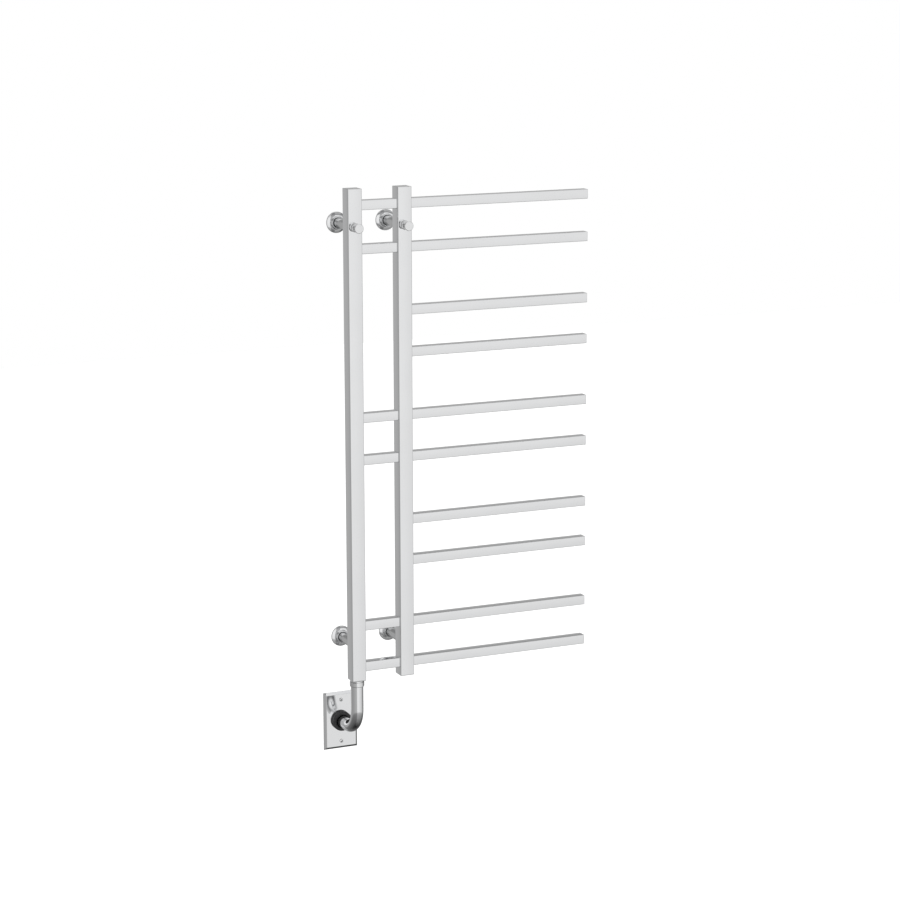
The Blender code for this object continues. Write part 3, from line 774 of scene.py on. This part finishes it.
def make_elbow():
    """The bent supply tube, hollow from end to end."""
    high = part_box("elbow_tube")[1]
    across = elbow_frame()[2]
    points, normals = elbow_route(high.z, high.y - ELBOW_R * math.sin(ELBOW_SWING))
    outer = tube_loops(points, normals, across, ELBOW_R)
    inner = tube_loops(points, normals, across, ELBOW_R - ELBOW_WALL)
    elbow = loft("elbow_tube_finish", outer + list(reversed(inner)), ring=True)
    stand_for("elbow_tube", elbow, sharp_deg=50.0, flat_faces=False)


def make_collar_nut():
    """Compression nut under the left post: a narrow shoulder over a rounded ring."""
    low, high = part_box("collar_nut")
    radius = (high.x - low.x) / 2
    top, bottom = high.z, low.z
    bore = ELBOW_R + JOINT_GAP
    shoulder = top - NUT_SHOULDER
    outline = [(bore, top, FINE_EDGE), (NUT_SHOULDER_R, top, EDGE),
               (NUT_SHOULDER_R, shoulder, NUT_STEP_EDGE), (radius, shoulder, NUT_RING_EDGE),
               (radius, bottom, NUT_ROUND), (bore, bottom, FINE_EDGE)]
    middle = (low + high) / 2
    nut = turned("collar_nut_finish", rounded(outline), (middle.x, middle.y, 0), toward_room=False)
    # The turned chrome paints shade into the nut's step and where it meets the post and the tube
    stand_for("collar_nut", nut, look="turned_chrome")


def make_plate():
    """Wall plate: wide front bevels with softened edges, a hollow back and three holes."""
    low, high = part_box("wall_plate")
    middle = (low + high) / 2
    bm = block(low, high)
    front = [edge for edge in bm.edges if all(vert.co.y < middle.y for vert in edge.verts)]
    bmesh.ops.bevel(bm, geom=front, offset=PLATE_BEVEL, segments=1, affect="EDGES")
    bmesh.ops.bevel(bm, geom=list(bm.edges), offset=EDGE, segments=2, profile=0.5, affect="EDGES")
    plate = add_object("wall_plate_finish", bm)
    rim = Vector((PLATE_RIM, 0, PLATE_RIM))
    pocket_low = low + rim + Vector((0, PLATE_SKIN, 0))
    pocket_high = high - rim + Vector((0, OVERRUN, 0))
    front_y, back_y = low.y - OVERRUN, high.y + OVERRUN
    tools = [add_object("tool", block(pocket_low, pocket_high)),
             cylinder((middle.x, front_y, middle.z), (middle.x, back_y, middle.z), PLATE_HOLE_R)]
    for screw in ("upper_plate_screw", "lower_plate_screw"):
        hole = centre_of(screw)
        tools.append(cylinder((hole.x, front_y, hole.z), (hole.x, back_y, hole.z),
                              SCREW_SHANK_R + JOINT_GAP, HOLE_STEPS))
    carve(plate, tools)
    stand_for("wall_plate", plate, sharp_deg=32.0)


def crown(radius, top):
    """Points of a screw's gently crowned head, from near its middle to its edge."""
    points = []
    for i in range(1, SCREW_CROWN_STEPS + 1):
        share = i / SCREW_CROWN_STEPS
        points.append((radius * share, top - SCREW_CROWN * share ** 2))
    return points


def make_plate_screws():
    """Slotted oval-head screws, both slots at the same angle."""
    seat = -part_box("wall_plate")[0].y + JOINT_GAP
    for cad_node in ("upper_plate_screw", "lower_plate_screw"):
        low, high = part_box(cad_node)
        middle = (low + high) / 2
        top, tip = -low.y, -high.y
        outline = [(0.0, top, 0)]
        outline += [(r, h, 0) for r, h in crown(SCREW_HEAD_R * SCREW_CROWN_SHARE, top)]
        outline += [(SCREW_HEAD_R, seat, SCREW_SEAT_EDGE), (SCREW_SHANK_R, seat, SCREW_SEAT_EDGE),
                    (SCREW_SHANK_R, tip, SCREW_TIP_EDGE), (0.0, tip, 0)]
        screw = turned(f"{cad_node}_finish", rounded(outline), (middle.x, 0, middle.z),
                       steps=SMALL_TURN_STEPS)
        slot = add_object("tool", block((-2 * SCREW_HEAD_R, -OVERRUN - top, -SCREW_SLOT_WIDTH / 2),
                                        (2 * SCREW_HEAD_R, SCREW_SLOT_DEPTH - top, SCREW_SLOT_WIDTH / 2)))
        slot.location = (middle.x, 0, middle.z)
        slot.rotation_euler = (0, -SCREW_SLOT_ANGLE, 0)
        carve(screw, [slot])
        # The slotted chrome paints shade into the slot and round the head's edge
        stand_for(cad_node, screw, look="slotted_chrome")


def make_grommet():
    """Rubber grommet with a rounded front ring, a groove for the plate and a back flange."""
    low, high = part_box("grommet")
    middle = (low + high) / 2
    radius = (high.x - low.x) / 2
    front, back = -low.y, -high.y
    plate_front = -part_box("wall_plate")[0].y
    groove = PLATE_HOLE_R - JOINT_GAP
    flange_top = plate_front - PLATE_SKIN - JOINT_GAP
    bore = ELBOW_R + GROMMET_FIT
    lip = bore + GROMMET_ROUND
    round_height = front - GROMMET_ROUND
    outline = arc((lip, round_height), GROMMET_ROUND, 180, 90, GROMMET_ROUND_STEPS)
    outline += arc((radius - GROMMET_ROUND, round_height), GROMMET_ROUND, 90, 0, GROMMET_ROUND_STEPS)
    skirt = [(radius, plate_front + JOINT_GAP, SOFT_EDGE), (groove, plate_front + JOINT_GAP, FINE_EDGE),
             (groove, flange_top, FINE_EDGE),
             (PLATE_HOLE_R + GROMMET_FLANGE, flange_top, GROMMET_FLANGE_EDGE),
             (PLATE_HOLE_R + GROMMET_BACK_FLANGE, back, SOFT_EDGE), (bore, back, SOFT_EDGE)]
    outline = [(r, h, 0) for r, h in outline] + skirt
    grommet = turned("grommet_finish", rounded(outline), (middle.x, 0, middle.z))
    stand_for("grommet", grommet)


# Wiring

def make_leads():
    """The three leads: insulation that ends short of the tip, and a bare copper core."""
    back, across = elbow_frame()[1:]
    elbow_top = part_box("elbow_tube")[1].z
    for name, side, inset in (("live", -LEAD_OFFSET, 0.0), ("neutral", LEAD_OFFSET, 0.0),
                              ("earth", 0.0, LEAD_OFFSET)):
        cad_node = f"{name}_lead"
        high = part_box(cad_node)[1]
        points, normals = elbow_route(min(high.z, elbow_top), high.y - CORE_LENGTH, side, inset)
        loops = tube_loops(points, normals, across, LEAD_R, LEAD_STEPS)
        lead = loft(f"{cad_node}_finish", loops)
        stand_for(cad_node, lead, sharp_deg=50.0, flat_faces=False)
        tip = points[-1] + back * ((high.y - CORE_TIP - points[-1].y) / back.y)
        core_route = [points[-1] - back * CORE_OVERLAP, tip - back * CORE_TIP, tip]
        down = Vector((0, 0, -1))
        core_loops = tube_loops(core_route[:2], [down] * 2, across, CORE_R, CORE_STEPS)
        core_loops += tube_loops(core_route[2:], [down], across, CORE_R * CORE_TIP_SHARE, CORE_STEPS)
        core = loft(f"{name}_core", core_loops)
        shade(core, 50.0, False)
        core.data.materials.append(MATERIALS["copper"])
        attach(core, "rack")


def dress_cad_nodes():
    """Give every CAD node its slot's material, for those that stay as they are."""
    for cad_node, obj in frame["nodes"].items():
        obj.data.materials.clear()
        obj.data.materials.append(MATERIALS[SLOT_OF[cad_node]])


# Studio

def ramp(tree, value, stops):
    """A grey colour ramp; stops are (place from 0 to 1, brightness)."""
    made = node(tree, "ShaderNodeValToRGB")
    made.color_ramp.interpolation = "EASE"
    elements = made.color_ramp.elements
    while len(elements) > 1:
        elements.remove(elements[0])
    elements[0].position = stops[0][0]
    elements[0].color = (*[stops[0][1]] * 3, 1.0)
    for place, brightness in stops[1:]:
        element = elements.new(place)
        element.color = (*[brightness] * 3, 1.0)
    link(tree, value, made.inputs["Fac"])
    return made.outputs["Color"]


def by_degrees(stops, low, high):
    """Stops given in degrees, placed from 0 to 1 between low and high."""
    return [((angle - low) / (high - low), brightness) for angle, brightness in stops]


# Brightness of the studio round the horizon, by the angle from the room's axis towards +X
SIDES = ((-180, 0.45), (-160, 0.42), (-140, 0.32), (-110, 0.32), (-86, 0.36), (-46, 0.44), (-27, 0.46),
         (-23, 0.84), (0, 0.86), (18, 0.81), (34, 0.745), (50, 0.70), (72, 0.54), (100, 0.21), (125, 0.24),
         (152, 0.42), (180, 0.45))
# How that changes with the height above the horizon, in degrees
HEIGHTS = ((-90, 0.04), (-75, 0.11), (-60, 0.24), (-40, 0.38), (-30, 0.47), (-26, 0.61), (-22, 0.92),
           (-5, 1.0), (8, 1.0), (30, 0.50), (55, 0.85), (90, 0.92))
# A bright strip in front, near the horizon
STRIP_SIDES = ((-26, 0.0), (-20, 1.0), (-8, 1.0), (2, 0.0))
STRIP_HEIGHTS = ((-22, 0.0), (-18, 0.15), (-13, 0.75), (-8, 1.0), (14, 1.0), (28, 0.0))
STRIP_BRIGHTNESS = 1.2
# Brightness overhead, and how it takes over from the sides with the height
OVERHEAD = 0.92
OVERHEAD_SHARE = ((25, 0.0), (65, 1.0))
DIFFUSE_LIGHT = 1.25


def make_world():
    """Plain white to the camera, soft light for matt surfaces, and a grey studio to mirror."""
    world = bpy.data.worlds.new("pale_studio")
    world.use_nodes = True
    bpy.context.scene.world = world
    tree = world.node_tree
    tree.nodes.clear()
    direction = node(tree, "ShaderNodeTexCoord").outputs["Generated"]
    parts = node(tree, "ShaderNodeSeparateXYZ")
    link(tree, direction, parts.inputs[0])
    toward_room = maths(tree, "MULTIPLY", parts.outputs["Y"], -1.0)
    side = maths(tree, "ARCTAN2", parts.outputs["X"], toward_room)
    side = maths(tree, "ADD", maths(tree, "DIVIDE", side, math.tau), 0.5)
    height = maths(tree, "ARCSINE", parts.outputs["Z"], 0.0)
    height = maths(tree, "ADD", maths(tree, "DIVIDE", height, math.pi), 0.5)
    around = ramp(tree, side, by_degrees(SIDES, -180, 180))
    up_down = ramp(tree, height, by_degrees(HEIGHTS, -90, 90))
    grey = maths(tree, "MULTIPLY", around, up_down)
    overhead = maths(tree, "MULTIPLY", up_down, OVERHEAD)
    steep = ramp(tree, height, by_degrees(OVERHEAD_SHARE, -90, 90))
    mix = node(tree, "ShaderNodeMix", data_type="FLOAT")
    link(tree, steep, mix.inputs["Factor"])
    link(tree, grey, mix.inputs["A"])
    link(tree, overhead, mix.inputs["B"])
    strip = maths(tree, "MULTIPLY", ramp(tree, side, by_degrees(STRIP_SIDES, -180, 180)),
                  ramp(tree, height, by_degrees(STRIP_HEIGHTS, -90, 90)))
    strip = maths(tree, "MULTIPLY", strip, STRIP_BRIGHTNESS)
    path = node(tree, "ShaderNodeLightPath")
    # The strip shows in first reflections only
    first_bounce = maths(tree, "LESS_THAN", path.outputs["Ray Depth"], 1.5)
    strip = maths(tree, "MULTIPLY", strip, first_bounce)
    mirrored = maths(tree, "ADD", mix.outputs["Result"], strip)
    with_diffuse = node(tree, "ShaderNodeMix", data_type="FLOAT")
    link(tree, path.outputs["Is Diffuse Ray"], with_diffuse.inputs["Factor"])
    link(tree, mirrored, with_diffuse.inputs["A"])
    with_diffuse.inputs["B"].default_value = DIFFUSE_LIGHT
    with_camera = node(tree, "ShaderNodeMix", data_type="FLOAT")
    link(tree, path.outputs["Is Camera Ray"], with_camera.inputs["Factor"])
    link(tree, with_diffuse.outputs["Result"], with_camera.inputs["A"])
    with_camera.inputs["B"].default_value = 1.0
    background = node(tree, "ShaderNodeBackground", Color=(1.0, 1.0, 1.0, 1.0))
    link(tree, with_camera.outputs["Result"], background.inputs["Strength"])
    output = node(tree, "ShaderNodeOutputWorld")
    link(tree, background.outputs[0], output.inputs["Surface"])


def make_floor():
    """A plain pale floor below the rack."""
    bm = bmesh.new()
    bmesh.ops.create_grid(bm, x_segments=8, y_segments=8, size=FLOOR_SIZE / 2)
    floor = add_object("studio_floor", bm)
    floor.location = (FLOOR_CENTRE_X, 0, CAD_BOX[0].z - FLOOR_DROP)
    floor.data.materials.append(make_surface("pale_floor", (0.95, 0.95, 0.95), 0.99, 0.0, (0.6, 0.8),
                                             3.0, (60.0, 0.0001), None, 0.0))
    floor.visible_glossy = False


def make_camera():
    """A camera in front, to the left and above, pitched down with no lens shift."""
    camera = bpy.data.objects.new("camera", bpy.data.cameras.new("camera"))
    bpy.context.scene.collection.objects.link(camera)
    camera.data.lens = CAMERA_LENS_MM
    camera.data.sensor_width = SENSOR_WIDTH_MM
    turn = Matrix.Rotation(-CAMERA_YAW, 4, "Z") @ Matrix.Rotation(math.pi / 2 - CAMERA_PITCH, 4, "X")
    camera.matrix_world = Matrix.Translation(CAMERA_PLACE) @ turn @ Matrix.Rotation(CAMERA_ROLL, 4, "Z")
    bpy.context.scene.camera = camera


def make_light():
    """A large soft light, high in front and to the left."""
    light = bpy.data.lights.new("soft_light", "AREA")
    light.shape = "RECTANGLE"
    light.size = LAMP_WIDTH
    light.size_y = LAMP_HEIGHT
    light.energy = LAMP_WATTS
    lamp = bpy.data.objects.new("soft_light", light)
    bpy.context.scene.collection.objects.link(lamp)
    lamp.location = LAMP_PLACE
    aim = Vector(LAMP_AIM) - lamp.location
    lamp.rotation_euler = aim.to_track_quat("-Z", "Y").to_euler()
    lamp.visible_camera = False
    lamp.visible_glossy = False


dress_cad_nodes()
make_posts()
make_plugs()
make_rungs_and_rails()
make_brackets()
make_covers()
make_grub_screws()
make_knobs()
make_elbow()
make_collar_nut()
make_plate()
make_plate_screws()
make_grommet()
make_leads()
make_world()
make_floor()
make_light()
make_camera()
bpy.context.scene.view_settings.view_transform = "Standard"
